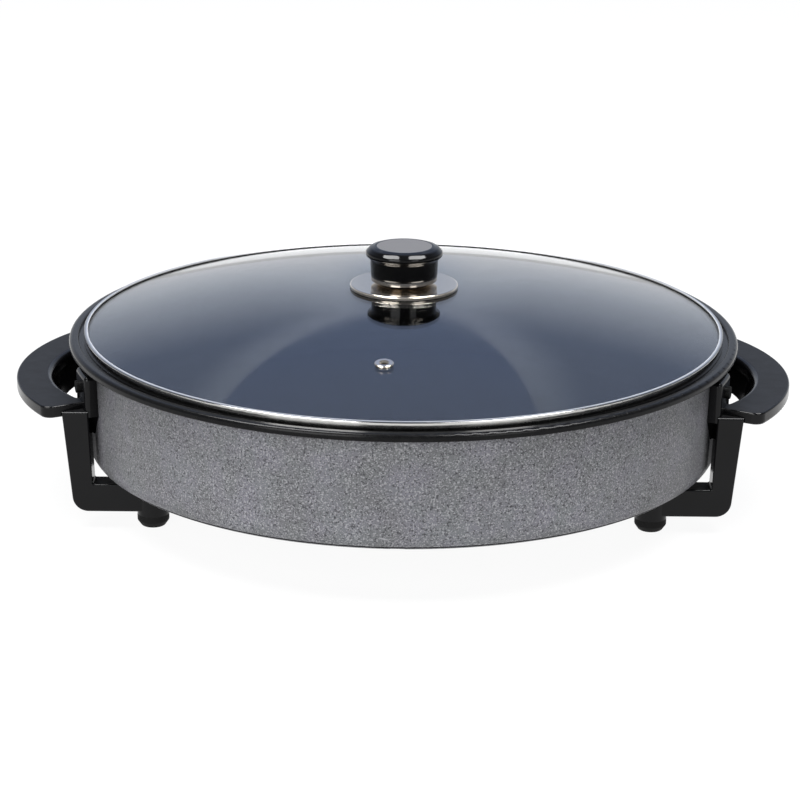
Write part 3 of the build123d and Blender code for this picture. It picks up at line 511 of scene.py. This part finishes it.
# Floor of the studio
floor_mesh = bpy.data.meshes.new("floor")
floor_mesh.from_pydata(
    [(x * FLOOR_HALF, y * FLOOR_HALF, 0.0) for x, y in ((-1, -1), (1, -1), (1, 1), (-1, 1))],
    [],
    [(0, 1, 2, 3)],
)
floor = bpy.data.objects.new("floor", floor_mesh)
bpy.context.scene.collection.objects.link(floor)
paper = Finish("floor_paper")
glow = paper.remap(paper.axes()[1], FLOOR_FADE_START, FLOOR_FADE_END, FLOOR_GLOW, FLOOR_FAR_GLOW)
paper.set(colour=grey(0.05), rough=0.9, specular=0.05, glow=grey(1.0), glow_strength=glow)
floor_mesh.materials.append(paper.material)

# Studio: pale at the horizon, a dark blue wedge straight behind the pan, brighter to its sides
world = bpy.data.worlds.new("studio")
bpy.context.scene.world = world
world.use_nodes = True
sky = Nodes(world.node_tree)
sky_x, sky_y, sky_z = sky.split(sky.add("ShaderNodeTexCoord").outputs["Generated"])


def sky_ramp(stops):
    """Colours by the height of the direction, from just below the horizon to straight up."""
    ramp = sky.add("ShaderNodeValToRGB")
    sky.feed(ramp.inputs["Fac"], sky.remap(sky_z, SKY_LOWEST, 1.0))
    while len(ramp.color_ramp.elements) < len(stops):
        ramp.color_ramp.elements.new(0.5)
    for element, (height, colour) in zip(ramp.color_ramp.elements, stops):
        element.position = (height - SKY_LOWEST) / (1.0 - SKY_LOWEST)
        element.color = (*colour, 1.0)
    return ramp.outputs["Color"]


aside = sky.sum("ARCTAN2", sky_x, sky_y)
turn = sky.sum("ABSOLUTE", aside)
slope = sky.sum("SUBTRACT", WEDGE_SLOPE, sky.sum("MULTIPLY", sky.sum("SIGN", aside), WEDGE_LEAN))
widening = sky.sum("MULTIPLY", slope, sky.sum("SUBTRACT", sky_z, WEDGE_HEIGHT))
wedge_edge = sky.sum("MAXIMUM", sky.sum("ADD", widening, WEDGE_TURN), WEDGE_LEAST_TURN)
past_edge = sky.sum("SUBTRACT", turn, wedge_edge)
high = sky.step(sky_z, 0.41, 0.12)
soft_part = sky.sum("MULTIPLY", sky.step(past_edge, -0.045, 0.075), sky.sum("SUBTRACT", 1.0, high))
crisp_part = sky.sum("MULTIPLY", sky.step(past_edge, -0.006, 0.012), high)
sky_colour = sky.mix(sky.sum("ADD", soft_part, crisp_part), sky_ramp(WEDGE_SKY), sky_ramp(FRINGE_SKY))
sky_colour = sky.mix(sky.step(past_edge, 0.01, 0.085), sky_colour, sky_ramp(SIDE_SKY))
sky_colour = sky.mix(sky.step(turn, 0.5, 0.7), sky_colour, sky_ramp(FRONT_SKY))
background = sky.tree.nodes["Background"]
sky.feed(background.inputs["Color"], sky_colour)
sky.feed(background.inputs["Strength"], 1.0)

# The boxes light all but the glass, which mirrors the studio alone
lit = bpy.data.collections.new("lit")
for piece in (*nodes.values(), floor):
    if piece != nodes["lid_glass"]:
        lit.objects.link(piece)


def soft_box(name, place, target, width, height, power):
    """Area light that faces a target."""
    light = bpy.data.lights.new(name, "AREA")
    light.shape = "RECTANGLE"
    light.size = width
    light.size_y = height
    light.energy = power
    holder = bpy.data.objects.new(name, light)
    holder.location = place
    holder.rotation_euler = (Vector(target) - Vector(place)).to_track_quat("-Z", "Y").to_euler()
    holder.light_linking.receiver_collection = lit
    bpy.context.scene.collection.objects.link(holder)


for box in SOFT_BOXES:
    soft_box(*box)

# Camera
camera = bpy.data.objects.new("camera", bpy.data.cameras.new("camera"))
camera.data.lens = LENS
camera.data.sensor_width = SENSOR
camera.location = CAMERA_PLACE
aim = (Vector(CAMERA_TARGET) - Vector(CAMERA_PLACE)).to_track_quat("-Z", "Y")
camera.rotation_euler = (aim @ Euler((0.0, 0.0, radians(CAMERA_ROLL))).to_quaternion()).to_euler()
bpy.context.scene.collection.objects.link(camera)
bpy.context.scene.camera = camera
bpy.context.scene.view_settings.view_transform = "Standard"
